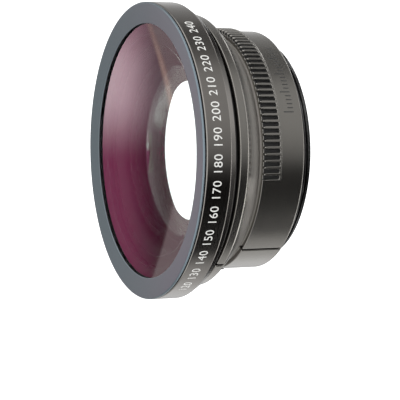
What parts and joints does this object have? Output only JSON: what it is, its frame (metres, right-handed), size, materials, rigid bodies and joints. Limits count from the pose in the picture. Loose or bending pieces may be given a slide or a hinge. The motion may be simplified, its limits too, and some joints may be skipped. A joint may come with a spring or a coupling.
{
  "type": "wide-angle conversion lens",
  "caption": "Short wide-angle conversion lens with a broad front ring, a stepped cone, notched grip pads and a male filter thread at the rear.",
  "frame": {"origin": "centre of the rear end, on the plane that the lens stands on", "axes": "+Z along the optical axis towards the front glass; -Y towards the side that the picture shows, +X towards the picture's top"},
  "size_m": [0.0698, 0.0698, 0.0311],
  "materials": {
    "face_ring": "satin blue-grey anodised",
    "lettered_barrel": "satin black anodised, white filled figures",
    "shell": "charcoal, fine satin",
    "thread_ring": "black anodised",
    "inner_black": "matt black anodised",
    "front_glass": "polished, plum coating, blackened edge",
    "rear_glass": "polished, coated",
    "seal_rubber": "matt black",
    "steel": "blackened"
  },
  "bodies": {
    "root": {"front_retaining_ring": "face_ring", "front_element": "front_glass", "front_gasket": "seal_rubber", "front_barrel": "lettered_barrel", "main_barrel": "inner_black", "light_baffle": "inner_black", "rear_seat_washer": "seal_rubber", "rear_crown_element": "rear_glass", "rear_flint_element": "rear_glass", "rear_retaining_ring": "inner_black", "mount_ring": "thread_ring", "mount_lock_screw_1": "steel", "mount_lock_screw_2": "steel", "mount_lock_screw_3": "steel", "grip_shell": "shell", "lower_shell": "shell", "seam_pin_1": "steel", "seam_pin_2": "steel", "seam_pin_3": "steel", "seam_pin_4": "steel"}
  },
  "joints": []
}
